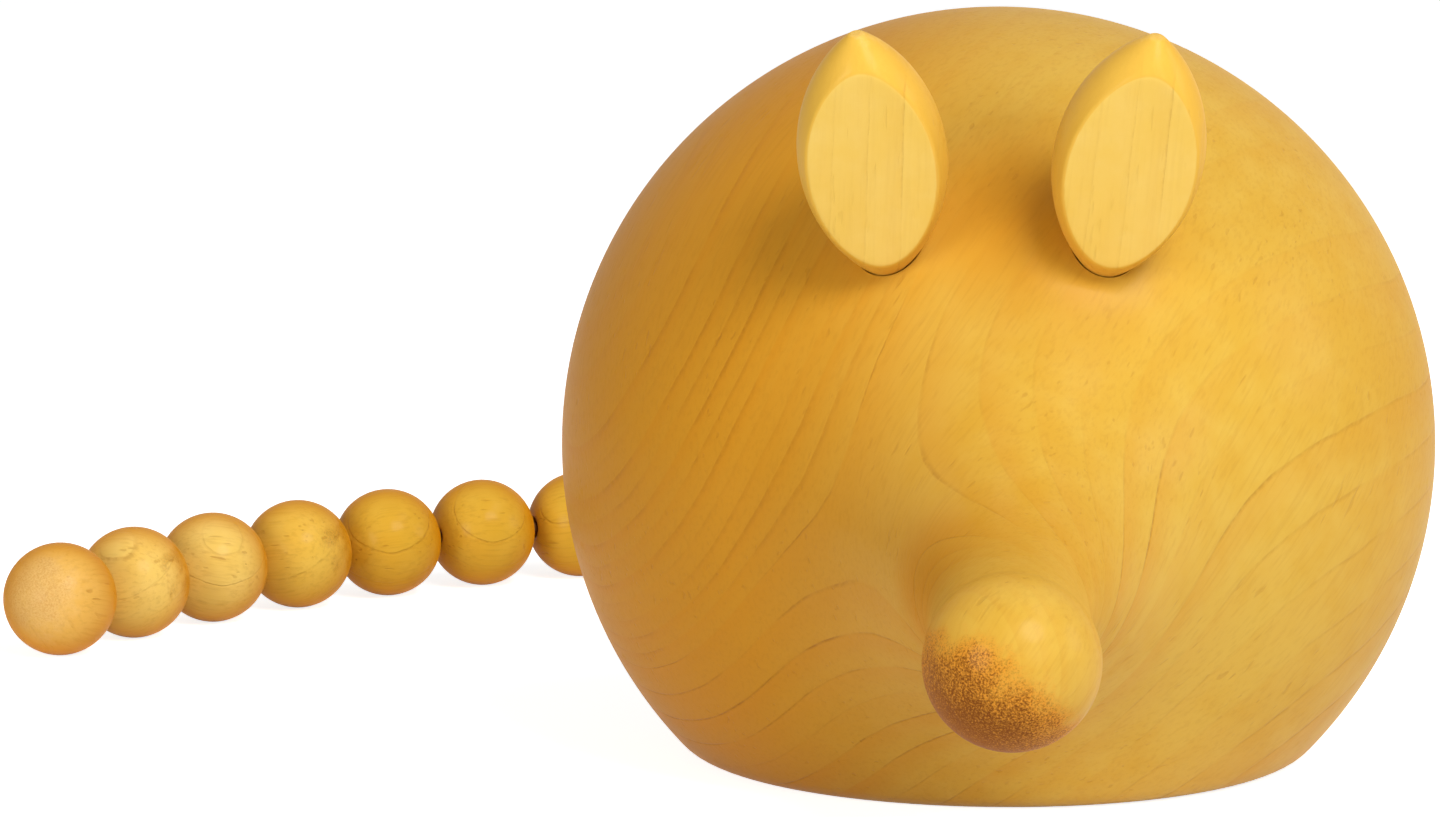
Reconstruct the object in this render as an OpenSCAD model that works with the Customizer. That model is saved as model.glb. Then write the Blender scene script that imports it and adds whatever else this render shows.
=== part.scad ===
// A turned wooden rat with a tail of balls on a cord.
// The rat faces -Y and stands on z = 0, with the middle of its ball body above the origin.
// Left and right are the animal's own, so its left is +X.

/* [Body] */
// Diameter of the ball that the body is turned from
ball_d = 84; // [70:1:110]
// Height of the ball's middle above the flat base
ball_height = 30; // [26:0.5:34]
// Radius that rounds the edge of the flat base
base_round = 4.5; // [2:0.5:6]

/* [Snout] */
// Distance from the front of the ball to the nose's middle
snout_length = 38; // [34:1:48]
// How far the turning axis dips towards the nose, in degrees
snout_tilt = 4.9; // [0:0.1:6]
// Diameter of the ball-shaped nose
nose_d = 15; // [14:0.2:18]
// Diameter of the neck behind the nose
neck_d = 13.8; // [11:0.2:14]
// Length of the straight neck, from the nose's middle back to the flare
neck_length = 10.5; // [9:0.5:16]

/* [Ears] */
// Largest diameter of an ear
ear_d = 13.4; // [11:0.2:16]
// Distance between the two points of an ear's full spindle
ear_length = 26.2; // [22:0.2:32]
// Diameter of the blunt tip
ear_tip_d = 1.2; // [0.8:0.1:2]
// Distance from an ear's axis to its flat face, at the widest place
ear_face_offset = 3.3; // [2.8:0.1:5]
// Tilt of the flat face towards the ear's tip, in degrees
ear_face_tilt = 1.5; // [0:0.5:4]
// Diameter of the tenon under an ear
ear_tenon_d = 3.4; // [3:0.1:6]
// Diameter of the ear where the rim of its seat ends
ear_seat_d = 10.6; // [9:0.1:10.9]
// Depth that the shoulder above the tenon sinks into the ball
ear_sink = 1.5; // [0.5:0.1:2.5]
// Depth of the tenon's hole below the shoulder
ear_socket_depth = 8; // [6:0.5:14]
// Angle of the left ear's foot out from the middle plane, in degrees
ear_spread_angle_left = 14.8; // [13:0.1:22]
// Angle of the right ear's foot out from the middle plane, in degrees
ear_spread_angle_right = 17.6; // [13:0.1:22]
// Angle of both feet above the ball's middle, in degrees
ear_rise = 32; // [26:0.5:38]
// Forward lean of both ears, in degrees
ear_lean = 26; // [20:1:34]
// Outward lean of the left ear, in degrees
ear_splay_angle_left = 10; // [4:0.5:14]
// Outward lean of the right ear, in degrees
ear_splay_angle_right = 6.5; // [4:0.5:14]

/* [Tail] */
// Diameter of a tail ball
tail_ball_d = 12; // [9:0.5:14]
// Diameter of the cord through the tail
cord_d = 2; // [1.2:0.1:3]
// Widest bend between two balls before they meet, in degrees
tail_bend_limit = 28; // [26:0.5:34]
// Length of bare cord between the ball body and the first bend
tail_standoff = 2.4; // [2:0.1:4]
// Depth of the cord's hole in the body
tail_socket_depth = 16; // [8:1:20]
// Depth of the cord's hole in the last ball
tail_end_depth = 9; // [6:0.5:10]

/* [Fits] */
// Gap all round a tenon or cord in its hole
fit_gap = 0.05; // [0.02:0.01:0.1]
// Gap all round an ear in the rim of its seat
seat_gap = 0.12; // [0.08:0.01:0.2]
// Gap at the blind end of a hole
end_gap = 0.2; // [0.1:0.05:0.5]
// Gap left between two tail balls at their widest bend
bend_gap = 0.1; // [0.05:0.05:0.3]

/* [Hidden] */
$fn = 96;

ball_r = ball_d / 2;
nose_r = nose_d / 2;
neck_r = neck_d / 2;
nose_at = ball_r + snout_length;
neck_at = nose_at - neck_length;
// The base's round stands this far out of the ball, so that the two cross cleanly
round_overlap = 0.05;
// The flare's arc starts this far below the ball's surface, for the same reason
flare_overlap = 0.02;

// The flare is one concave arc, which leaves the ball and runs on into the neck without a visible crease
flare_start = ball_r - flare_overlap;
flare_r = (pow(neck_at, 2) + pow(neck_r, 2) - pow(flare_start, 2)) / (2 * (flare_start - neck_r));

ear_r = ear_d / 2;
ear_half = ear_length / 2;
ear_arc_r = (ear_half * ear_half + ear_r * ear_r) / (2 * ear_r);
ear_tenon_r = ear_tenon_d / 2;
// Distances along an ear from its widest place, up to the blunt tip and down to the tenon's shoulder
ear_tip_at = spindle_reach(ear_tip_d / 2);
ear_foot_at = spindle_reach(ear_tenon_r);
ear_tenon_length = ear_socket_depth - end_gap;
// Height of the seat's rim above the shoulder
ear_seat_height = ear_foot_at - spindle_reach(ear_seat_d / 2);

tail_ball_r = tail_ball_d / 2;
cord_r = cord_d / 2;
cord_hole_r = cord_r + fit_gap;
// Distance from a ball's middle to the bend before or after it
tail_half_pitch = (tail_ball_r + bend_gap / 2) / cos(tail_bend_limit / 2);
// Distance from a bend to the cord's straight stretches on both sides of it
bend_clear = cord_r + fit_gap;
tail_exit = sqrt(pow(ball_r, 2) - pow(ball_height - tail_ball_r, 2));

// Turn of the cord at each bend, from the body to the tip, in degrees to the animal's right
tail_turns = [-15, 0, 14, 20, 20, 20, 20, 20, 18, 6, 6, 6, 6, 6, 4];
tail_count = len(tail_turns);

// Distance along a spindle from its widest place to where its radius is r
function spindle_reach(r) = sqrt(pow(ear_arc_r, 2) - pow(ear_arc_r - ear_r + r, 2));

// Heading of the cord through a tail ball, where 90 is straight back
function heading(k) = 90 + sum_to(tail_turns, k);
function sum_to(list, k) = k < 0 ? 0 : list[k] + sum_to(list, k - 1);
function along(angle, distance) = [distance * cos(angle), distance * sin(angle), 0];

// Where the cord bends before tail ball k
function bend_at(k) = k == 0
    ? [0, tail_exit + tail_standoff, tail_ball_r]
    : bend_at(k - 1) + along(heading(k - 1), 2 * tail_half_pitch);

// Where the cord's hole ends along tail ball k: right through, but short of the far side in the last one
function hole_end(k) = k < tail_count - 1
    ? 2 * tail_half_pitch
    : tail_half_pitch - tail_ball_r + tail_end_depth;

function two_digits(k) = k < 9 ? str("0", k + 1) : str(k + 1);

// The half of a circle on the right of the upright axis, which turns into a ball
module half_circle(radius) {
    intersection() {
        circle(r = radius);
        translate([0, -radius]) square([radius, 2 * radius]);
    }
}

// The flare and the neck, turned about an upright axis with the ball's middle at the origin
module snout() {
    flare_middle = [neck_r + flare_r, neck_at];
    rotate_extrude() {
        difference() {
            polygon([[0, 0], flare_middle, [0, neck_at]]);
            translate(flare_middle) circle(r = flare_r);
        }
        translate([0, neck_at]) square([neck_r, neck_length]);
    }
}

// The ball, the snout and the nose as they come off the lathe, tilted so that the nose dips
module turned_body() {
    translate([0, 0, ball_height]) {
        sphere(r = ball_r);
        rotate([90 + snout_tilt, 0, 0]) snout();
        translate(nose_at * [0, -cos(snout_tilt), -sin(snout_tilt)]) sphere(r = nose_r);
    }
}

// The space above the table with a rounded lower edge, which trims the body to its base
module base_trim() {
    round_at = sqrt(pow(ball_r - base_round + round_overlap, 2) - pow(ball_height - base_round, 2));
    round_middle = [round_at, base_round];
    // Outside the round, the trim follows the ball's own radius through the round's middle
    beyond = round_middle + [round_at, base_round - ball_height];
    side = nose_at + ball_r;
    top = ball_height + ball_d;
    rotate_extrude() {
        polygon([[0, 0], [round_at, 0], round_middle, beyond, [side, beyond[1]], [side, top], [0, top]]);
        translate(round_middle) circle(r = base_round);
    }
}

// Moves a child from an ear's own frame, with its tip up and its shoulder at the origin, to the ball.
// The spread and the splay are positive on the animal's left.
module place_ear(spread, splay) {
    foot = ball_r * [sin(spread) * cos(ear_rise), -cos(spread) * cos(ear_rise), sin(ear_rise)];
    translate([0, 0, ball_height] + foot)
        rotate([ear_lean, 0, 0])
            rotate([0, splay, 0])
                translate([0, 0, -ear_sink])
                    children();
}

module place_ear_left() {
    place_ear(ear_spread_angle_left, ear_splay_angle_left) children();
}

module place_ear_right() {
    place_ear(-ear_spread_angle_right, -ear_splay_angle_right) children();
}

// The turned part of an ear, or of its seat, from the shoulder up to a height
module spindle(height, gap) {
    translate([0, 0, ear_foot_at])
        rotate_extrude()
            intersection() {
                translate([ear_r - ear_arc_r, 0]) circle(r = ear_arc_r + gap);
                translate([0, -ear_foot_at]) square([ear_r + gap, height]);
            }
}

// The drilled socket, with a rim that follows the ear's rounded underside
module ear_socket() {
    translate([0, 0, -ear_socket_depth])
        cylinder(r = ear_tenon_r + fit_gap, h = ear_socket_depth + ear_seat_height);
    spindle(ear_seat_height, seat_gap);
}

module ear() {
    difference() {
        union() {
            spindle(ear_foot_at + ear_tip_at, 0);
            translate([0, 0, -ear_tenon_length]) cylinder(r = ear_tenon_r, h = ear_tenon_length + ear_r);
        }
        translate([0, -ear_face_offset, ear_foot_at])
            rotate([-ear_face_tilt, 0, 0])
                translate([-ear_r, -ear_d, -ear_foot_at]) cube([ear_d, ear_d, ear_length]);
    }
}

module body() {
    color("goldenrod")
        difference() {
            intersection() {
                turned_body();
                base_trim();
            }
            place_ear_left() ear_socket();
            place_ear_right() ear_socket();
            translate([0, tail_exit - tail_socket_depth, tail_ball_r])
                rotate([-90, 0, 0]) cylinder(r = cord_hole_r, h = tail_socket_depth + tail_ball_d);
        }
}

module ear_left() {
    color("khaki") place_ear_left() ear();
}

module ear_right() {
    color("khaki") place_ear_right() ear();
}

// Moves a child that points up to a bend of the tail, where it points along the cord
module along_cord(k) {
    translate(bend_at(k)) rotate([0, 90, heading(k)]) children();
}

module tail_cord_root() {
    start = tail_exit - tail_socket_depth + end_gap;
    color("saddlebrown")
        translate([0, start, tail_ball_r])
            rotate([-90, 0, 0]) cylinder(r = cord_r, h = bend_at(0)[1] - bend_clear - start);
}

// One ball of the tail, turned and drilled along the cord
module tail_ball(k) {
    color(k % 2 == 0 ? "goldenrod" : "darkgoldenrod")
        along_cord(k)
            rotate_extrude()
                difference() {
                    translate([0, tail_half_pitch]) half_circle(tail_ball_r);
                    square([cord_hole_r, hole_end(k)]);
                }
}

// The cord inside one ball, from the bend before it to the bend after it or to the blind end
module tail_cord(k) {
    end = hole_end(k) - (k < tail_count - 1 ? bend_clear : end_gap);
    color("saddlebrown")
        along_cord(k)
            translate([0, 0, bend_clear]) cylinder(r = cord_r, h = end - bend_clear);
}

// The short length of cord that flexes in the gap, round so that it fills the gap at every bend
module tail_bend(k) {
    color("sienna") translate(bend_at(k)) sphere(r = cord_r);
}

body();
ear_left();
ear_right();
tail_cord_root();
for (k = [0 : tail_count - 1]) {
    tail_ball(k);
    tail_cord(k);
    tail_bend(k);
}
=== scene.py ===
"""A turned wooden rat with a tail of balls on a cord, dressed for its picture.

Sizes are in millimetres, as in the part's source, and become metres where a mesh is made. The rat faces
-Y and stands on z = 0. Left and right are the animal's own, so its left is +X.
"""

import logging
import math
from dataclasses import dataclass, field, replace
from enum import Enum

import bpy
import numpy as np
from mathutils import Matrix, Vector
from numpy.typing import NDArray


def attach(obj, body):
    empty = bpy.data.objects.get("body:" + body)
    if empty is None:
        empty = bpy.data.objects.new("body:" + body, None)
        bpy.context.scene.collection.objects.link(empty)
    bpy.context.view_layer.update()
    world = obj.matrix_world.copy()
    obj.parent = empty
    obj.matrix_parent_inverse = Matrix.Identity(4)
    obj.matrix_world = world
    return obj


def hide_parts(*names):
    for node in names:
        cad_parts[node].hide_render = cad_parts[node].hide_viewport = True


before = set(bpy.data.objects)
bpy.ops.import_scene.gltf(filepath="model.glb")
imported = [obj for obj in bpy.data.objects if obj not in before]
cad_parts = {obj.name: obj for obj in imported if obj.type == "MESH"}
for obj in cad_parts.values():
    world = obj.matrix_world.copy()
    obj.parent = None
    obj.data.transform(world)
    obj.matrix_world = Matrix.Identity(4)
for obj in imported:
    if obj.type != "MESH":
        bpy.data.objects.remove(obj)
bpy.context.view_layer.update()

LOG = logging.getLogger("rat")
MM = 0.001

Array = NDArray[np.float64]
Skin = tuple[Array, list[list[int]]]
Colour = tuple[float, float, float, float]
Triple = tuple[float, float, float]
Socket = bpy.types.NodeSocket
Source = Socket | float | Triple | Colour


def tint(red: int, green: int, blue: int) -> Colour:
    """Turns a screen colour of 0 to 255 a channel into the linear colour that a shader takes.

    Args:
        red: Red channel.
        green: Green channel.
        blue: Blue channel.

    Returns:
        Linear red, green and blue, and full alpha.
    """
    screen = np.array([red, green, blue]) / 255.0
    linear = np.where(screen <= 0.04045, screen / 12.92, ((screen + 0.055) / 1.055) ** 2.4)
    return (float(linear[0]), float(linear[1]), float(linear[2]), 1.0)


def unit(x: float, y: float, z: float) -> Triple:
    """Scales a direction to length 1."""
    length = math.sqrt(x * x + y * y + z * z)
    return (x / length, y / length, z / length)


def rotation(degrees: float, axis: str) -> Matrix:
    """Gives the matrix of a turn about one axis."""
    return Matrix.Rotation(math.radians(degrees), 4, axis)


def raised(height: float) -> Matrix:
    """Gives the matrix of a move straight up."""
    return Matrix.Translation((0.0, 0.0, height))


# Lines, grids and meshes


def resampled(line: Array, step: float) -> Array:
    """Lays points at even distances along a line.

    The running length of the line is measured, and both coordinates are read off at multiples of the step.

    Args:
        line: Points of shape (n, 2).
        step: Distance wanted between points.

    Returns:
        The new points, with both ends kept.
    """
    lengths = np.linalg.norm(np.diff(line, axis=0), axis=1)
    along = np.concatenate([[0.0], np.cumsum(lengths)])
    count = max(3, round(along[-1] / step) + 1)
    wanted = np.linspace(0.0, along[-1], count)
    return np.stack([np.interp(wanted, along, line[:, i]) for i in range(2)], axis=1)


def softened(line: Array, reach: float, step: float, closed: bool = False) -> Array:
    """Rounds the corners of a turning profile.

    Each point of the resampled line becomes the mean of its neighbours, weighted by a bell curve as wide
    as the reach. A closed line goes round again at its ends. An open one is mirrored in the turning axis,
    so its ends stay on it.

    Args:
        line: Radius and height of each point, of shape (n, 2).
        reach: Width of the bell curve.
        step: Distance between points.
        closed: Whether the last point joins the first.

    Returns:
        The rounded profile.
    """
    width = max(1, math.ceil(3.0 * reach / step))
    bell = np.exp(-0.5 * (np.arange(-width, width + 1) * step / reach) ** 2)
    bell /= bell.sum()
    if closed:
        even = resampled(np.concatenate([line, line[:1]]), step)[:-1]
        padded = np.concatenate([even[-width:], even, even[:width]])
    else:
        even = resampled(line, step)
        mirror = np.array([-1.0, 1.0])
        before, after = even[width:0:-1], even[-2 : -width - 2 : -1]
        padded = np.concatenate([before * mirror, even, after * mirror])
    return np.stack([np.convolve(padded[:, i], bell, "valid") for i in range(2)], axis=1)


def arc(middle: tuple[float, float], radius: float, start: float, end: float, count: int) -> Array:
    """Gives points on a circle, from one angle to another in degrees.

    Args:
        middle: Middle of the circle.
        radius: Radius of the circle.
        start: First angle.
        end: Last angle.
        count: Number of points.

    Returns:
        Points of shape (count, 2).
    """
    angles = np.radians(np.linspace(start, end, count))
    across, up = radius * np.cos(angles), radius * np.sin(angles)
    return np.stack([middle[0] + across, middle[1] + up], axis=1)


def circle(around: int) -> Array:
    """Gives even angles once round, in radians."""
    return np.linspace(0.0, 2.0 * math.pi, around, endpoint=False)


def turned(radii: Array, heights: Array, around: int) -> Array:
    """Carries a profile round the upright axis.

    The point at ring i and angle a is (r cos a, r sin a, z), where r may depend on the angle as well as on
    the ring.

    Args:
        radii: Radius of each ring, of shape (rings,) or (rings, around).
        heights: Height of each ring.
        around: Number of points round the axis.

    Returns:
        Points of shape (rings, around, 3).
    """
    angles = circle(around)
    spread = radii[:, None] if radii.ndim == 1 else radii
    level = np.broadcast_to(heights[:, None], (len(heights), around))
    return np.stack([spread * np.cos(angles), spread * np.sin(angles), level], axis=2)


def skinned(grid: Array, closed: bool = False) -> Skin:
    """Joins the rings of a grid into a closed skin with its faces outwards.

    Each ring is joined to the next by four-sided faces. A closed grid joins its last ring to its first.
    Otherwise the first and last rings are poles: each becomes one point with a fan of triangles.

    Args:
        grid: Points of shape (rings, around, 3), with rising rings on the outside.
        closed: Whether the last ring joins the first.

    Returns:
        The points, and the faces as lists of point numbers.
    """
    around = grid.shape[1]
    rings = grid if closed else grid[1:-1]
    count = len(rings)
    index = np.arange(count * around).reshape(count, around)
    after = np.roll(index, -1, axis=1)
    above = np.roll(index, -1, axis=0)
    beyond = np.roll(after, -1, axis=0)
    quads = np.stack([index, after, beyond, above], axis=2)
    points = rings.reshape(-1, 3)
    if closed:
        return points, quads.reshape(-1, 4).tolist()
    low, high = count * around, count * around + 1
    bottom = np.stack([np.full(around, low), after[0], index[0]], axis=1)
    top = np.stack([np.full(around, high), index[-1], after[-1]], axis=1)
    points = np.concatenate([points, grid[:1, 0], grid[-1:, 0]])
    return points, quads[:-1].reshape(-1, 4).tolist() + bottom.tolist() + top.tolist()


def lathed(line: Array, around: int) -> Skin:
    """Turns a profile of radius and height into a skin with a pole at each end."""
    return skinned(turned(line[:, 0], line[:, 1], around))


def moved(skin: Skin, place: Matrix) -> Skin:
    """Applies a placing matrix to the points of a skin."""
    points, faces = skin
    matrix = np.array(place)
    return points @ matrix[:3, :3].T + matrix[:3, 3], faces


def piece(name: str, skin: Skin, crease: float = 45.0) -> bpy.types.Object:
    """Makes an object at the origin, with its place in its mesh.

    Args:
        name: Name of the piece.
        skin: Points in millimetres, and faces.
        crease: Angle in degrees past which an edge stays sharp.

    Returns:
        The new object.
    """
    points, faces = skin
    mesh = bpy.data.meshes.new(name)
    mesh.from_pydata((points * MM).tolist(), [], faces)
    mesh.shade_smooth()
    mesh.set_sharp_from_angle(angle=math.radians(crease))
    made = bpy.data.objects.new(name, mesh)
    bpy.context.scene.collection.objects.link(made)
    return made


def stands_for(
    made: bpy.types.Object, node: str, body: str, finish: bpy.types.Material
) -> None:
    """Dresses a piece and sets it in the frame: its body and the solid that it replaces.

    Args:
        made: The piece.
        node: Name of the solid.
        body: Name of the moving body.
        finish: Material of the piece.
    """
    made.data.materials.append(finish)
    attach(made, body)
    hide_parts(node)
    LOG.info("%s rides on %s for %s", made.name, body, node)


# Finishes


class Rise(Enum):
    """How a value goes from one level to another."""

    SMOOTH = "SMOOTHSTEP"
    EVEN = "LINEAR"


class Graph:
    """Adds nodes to one node tree and joins them."""

    def __init__(self, tree: bpy.types.NodeTree) -> None:
        """Keeps the tree that the nodes go into."""
        self.tree = tree

    def feed(self, socket: Socket, value: Source) -> None:
        """Joins a socket to another, or sets its value.

        Args:
            socket: Input socket.
            value: Output socket, or a plain value.
        """
        if isinstance(value, bpy.types.NodeSocket):
            self.tree.links.new(value, socket)
        else:
            socket.default_value = value

    def node(self, kind: str, **choices: str | bool) -> bpy.types.Node:
        """Adds a node and sets its choices.

        Args:
            kind: Type name of the node.
            **choices: Properties of the node.

        Returns:
            The new node.
        """
        added = self.tree.nodes.new(kind)
        for name, value in choices.items():
            setattr(added, name, value)
        return added

    def math(self, operation: str, first: Source, second: Source = 0.0) -> Socket:
        """Works out one number from two.

        Args:
            operation: Name of the operation.
            first: First number.
            second: Second number.

        Returns:
            The result's socket.
        """
        added = self.node("ShaderNodeMath", operation=operation)
        self.feed(added.inputs[0], first)
        self.feed(added.inputs[1], second)
        return added.outputs[0]

    def plus(self, first: Source, second: Source) -> Socket:
        """Adds two numbers."""
        return self.math("ADD", first, second)

    def minus(self, first: Source, second: Source) -> Socket:
        """Takes the second number from the first."""
        return self.math("SUBTRACT", first, second)

    def times(self, first: Source, second: Source) -> Socket:
        """Multiplies two numbers."""
        return self.math("MULTIPLY", first, second)

    def vector(self, operation: str, first: Source, second: Source, output: str = "Vector") -> Socket:
        """Works out a vector or a number from two vectors, or from a vector and a scale.

        Args:
            operation: Name of the operation.
            first: First vector.
            second: Second vector, or the scale.
            output: Name of the output that holds the result.

        Returns:
            The result's socket.
        """
        added = self.node("ShaderNodeVectorMath", operation=operation)
        self.feed(added.inputs[0], first)
        self.feed(added.inputs["Scale" if operation == "SCALE" else 1], second)
        return added.outputs[output]

    def dot(self, first: Source, second: Source) -> Socket:
        """Gives the dot product of two vectors."""
        return self.vector("DOT_PRODUCT", first, second, "Value")

    def distance(self, first: Source, second: Source) -> Socket:
        """Gives the distance between two places."""
        return self.vector("DISTANCE", first, second, "Value")

    def noise(self, place: Source, scale: float, detail: float = 2.0, rough: float = 0.5) -> Socket:
        """Gives smooth noise from 0 to 1.

        Args:
            place: Position.
            scale: Size of the noise, in cells a millimetre.
            detail: Number of finer layers.
            rough: Strength of the finer layers.

        Returns:
            The noise's socket.
        """
        added = self.node("ShaderNodeTexNoise")
        self.feed(added.inputs["Vector"], place)
        added.inputs["Scale"].default_value = scale
        added.inputs["Detail"].default_value = detail
        added.inputs["Roughness"].default_value = rough
        return added.outputs[0]

    def step(
        self,
        value: Source,
        low: Source,
        high: Source,
        start: float = 0.0,
        end: float = 1.0,
        rise: Rise = Rise.SMOOTH,
    ) -> Socket:
        """Goes from one level to another as a value rises.

        Args:
            value: Number to follow.
            low: Where the change starts.
            high: Where the change ends.
            start: Level before it.
            end: Level after it.
            rise: How the level changes in between.

        Returns:
            The result's socket.
        """
        added = self.node("ShaderNodeMapRange", interpolation_type=rise.value)
        given = {"Value": value, "From Min": low, "From Max": high, "To Min": start, "To Max": end}
        for name, source in given.items():
            self.feed(added.inputs[name], source)
        return added.outputs[0]

    def blend(self, share: Source, first: Source, second: Source) -> Socket:
        """Mixes two colours.

        Args:
            share: Share of the second colour.
            first: First colour.
            second: Second colour.

        Returns:
            The colour's socket.
        """
        added = self.node("ShaderNodeMix", data_type="RGBA")
        self.feed(added.inputs[0], share)
        self.feed(added.inputs[6], first)
        self.feed(added.inputs[7], second)
        return added.outputs[2]

    def place(self, group: bpy.types.NodeTree, **inputs: Source) -> bpy.types.NodeOutputs:
        """Places a shared effect and feeds it.

        Args:
            group: Node group of the effect.
            **inputs: Values of its inputs, with underscores for spaces.

        Returns:
            The outputs of the effect.
        """
        added = self.node("ShaderNodeGroup")
        added.node_tree = group
        for name, value in inputs.items():
            self.feed(added.inputs[name.replace("_", " ")], value)
        return added.outputs


class Dressing(Graph):
    """A new material, with its shader and the position that its pattern reads."""

    def __init__(self, name: str, middle: Triple, scale: float) -> None:
        """Makes the material and the nodes that every finish starts from.

        Args:
            name: Name of the material.
            middle: Middle of the pattern in millimetres.
            scale: Size of the pattern's units, in units a millimetre.
        """
        self.made = bpy.data.materials.new(name)
        self.made.use_nodes = True
        super().__init__(self.made.node_tree)
        self.shader = self.made.node_tree.nodes["Principled BSDF"]
        coordinates = self.node("ShaderNodeTexCoord").outputs
        self.normal = coordinates["Normal"]
        mapping = self.node("ShaderNodeMapping")
        self.feed(mapping.inputs["Vector"], coordinates["Object"])
        self.feed(mapping.inputs["Location"], tuple(-v for v in middle))
        self.feed(mapping.inputs["Scale"], (scale / MM, scale / MM, scale / MM))
        self.position = mapping.outputs["Vector"]

    def dress(self, name: str, value: Source) -> None:
        """Feeds one input of the shader."""
        self.feed(self.shader.inputs[name], value)

    def emboss(self, height: Socket, relief: float, strength: float) -> None:
        """Raises the surface by a bump.

        Args:
            height: Height from 0 to 1.
            relief: Depth of the bump in millimetres.
            strength: Strength of the bump.
        """
        bump = self.node("ShaderNodeBump")
        self.feed(bump.inputs["Distance"], relief * MM)
        self.feed(bump.inputs["Strength"], strength)
        self.feed(bump.inputs["Height"], height)
        self.dress("Normal", bump.outputs["Normal"])


class Effect:
    """A shared shader effect, built once as a node group."""

    def __init__(self, name: str, vectors: list[str], numbers: list[str], outputs: list[str]) -> None:
        """Makes the group and its sockets.

        Args:
            name: Name of the group.
            vectors: Names of its vector inputs.
            numbers: Names of its number inputs.
            outputs: Names of its outputs, which are numbers from 0 to 1.
        """
        self.group = bpy.data.node_groups.new(name, "ShaderNodeTree")
        sockets = [(n, "INPUT", "NodeSocketVector") for n in vectors]
        sockets += [(n, "INPUT", "NodeSocketFloat") for n in numbers]
        sockets += [(n, "OUTPUT", "NodeSocketFloat") for n in outputs]
        for label, side, kind in sockets:
            self.group.interface.new_socket(label, in_out=side, socket_type=kind)
        self.graph = Graph(self.group)
        self.given = self.graph.node("NodeGroupInput").outputs
        self.result = self.graph.node("NodeGroupOutput").inputs


def growth_rings() -> bpy.types.NodeTree:
    """Builds the growth rings of the wood, as bent sheets that the surface cuts through.

    A sheet's number is (sheet . p + 0.001 ((bend . p)^2 + (bow . p)^2) + wobble) / width, with the sheets
    crowded together past a given depth. The late wood is a thin dark line at the end of each sheet, stronger
    in some years than in others and broader in the crowded ones. It fades in the calm direction and past the
    edge.

    Returns:
        The node group.
    """
    effect = Effect(
        "growth_rings",
        ["Position", "Sheet", "Bend", "Bow", "Calm", "Edge"],
        ["Width", "Crowding", "Crowd From", "Crowd To", "Wobble"],
        ["Line", "Band"],
    )
    graph, given = effect.graph, effect.given
    place = given["Position"]
    bend, bow = graph.dot(place, given["Bend"]), graph.dot(place, given["Bow"])
    curved = graph.plus(graph.times(bend, bend), graph.times(bow, bow))
    depth = graph.plus(graph.dot(place, given["Sheet"]), graph.times(curved, 0.001))
    sway = graph.minus(graph.noise(place, 0.05, 2.0), 0.5)
    ripple = graph.minus(graph.noise(place, 0.35, 2.0), 0.5)
    unrest = graph.plus(sway, graph.times(ripple, 0.16))
    depth = graph.plus(depth, graph.times(unrest, given["Wobble"]))
    share = graph.step(depth, given["Crowd From"], given["Crowd To"], rise=Rise.EVEN)
    crowded = graph.times(graph.step(share, 0.0, 0.08), graph.step(share, 0.92, 1.0, 1.0, 0.0))
    years = graph.times(share, given["Crowding"])
    year = graph.plus(graph.math("DIVIDE", depth, given["Width"]), years)
    season = graph.math("FRACT", year)
    chance = graph.node("ShaderNodeTexWhiteNoise", noise_dimensions="1D")
    graph.feed(chance.inputs["W"], graph.math("FLOOR", year))
    strength = chance.outputs[0]
    late = graph.step(crowded, 0.0, 1.0, 0.9, 0.7)
    ridge = graph.times(graph.step(season, late, 0.97), graph.step(season, 0.97, 1.0, 1.0, 0.0))
    faded = graph.step(graph.noise(place, 0.11, 2.0), 0.36, 0.62)
    dotted = graph.step(graph.noise(place, 1.5, 2.0), 0.34, 0.6, 0.5, 1.0)
    kept = graph.times(faded, graph.plus(graph.times(strength, 0.7), 0.3))
    restful = graph.step(graph.dot(place, given["Calm"]), 0.8, 1.5)
    kept = graph.times(kept, graph.step(restful, 0.0, 1.0, 1.0, 0.12))
    kept = graph.times(kept, graph.step(graph.dot(place, given["Edge"]), 0.9, 1.0, 1.0, 0.12))
    kept = graph.times(kept, graph.step(crowded, 0.0, 1.0, 1.4, 0.85))
    line = graph.times(ridge, graph.times(kept, dotted))
    graph.feed(effect.result["Line"], line)
    band = graph.times(graph.step(season, 0.1, 0.9), graph.step(season, 0.92, 1.0, 1.0, 0.0))
    band = graph.times(band, graph.step(strength, 0.0, 1.0, 0.25, 1.0))
    graph.feed(effect.result["Band"], graph.times(band, graph.step(restful, 0.0, 1.0, 1.0, 0.3)))
    return effect.group


def wood_fibre() -> bpy.types.NodeTree:
    """Builds fine fibres and short pore flecks that run along the grain.

    The position is squeezed along the grain before the noise is read, so that its cells come out long and
    thin.

    Returns:
        The node group.
    """
    effect = Effect("wood_fibre", ["Position", "Grain"], [], ["Fibre", "Fleck"])
    graph, given = effect.graph, effect.given
    lengthwise = graph.dot(given["Position"], given["Grain"])

    def squeezed(share: float) -> Socket:
        """Takes a share of the lengthwise part out of the position."""
        part = graph.vector("SCALE", given["Grain"], graph.times(lengthwise, share))
        return graph.vector("SUBTRACT", given["Position"], part)

    graph.feed(effect.result["Fibre"], graph.noise(squeezed(0.96), 2.6, 3.0, 0.6))
    cells = graph.noise(squeezed(0.84), 1.7, 1.0)
    sparse = graph.step(graph.noise(given["Position"], 0.13, 2.0), 0.4, 0.62)
    graph.feed(effect.result["Fleck"], graph.times(graph.step(cells, 0.66, 0.74), sparse))
    return effect.group


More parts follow.
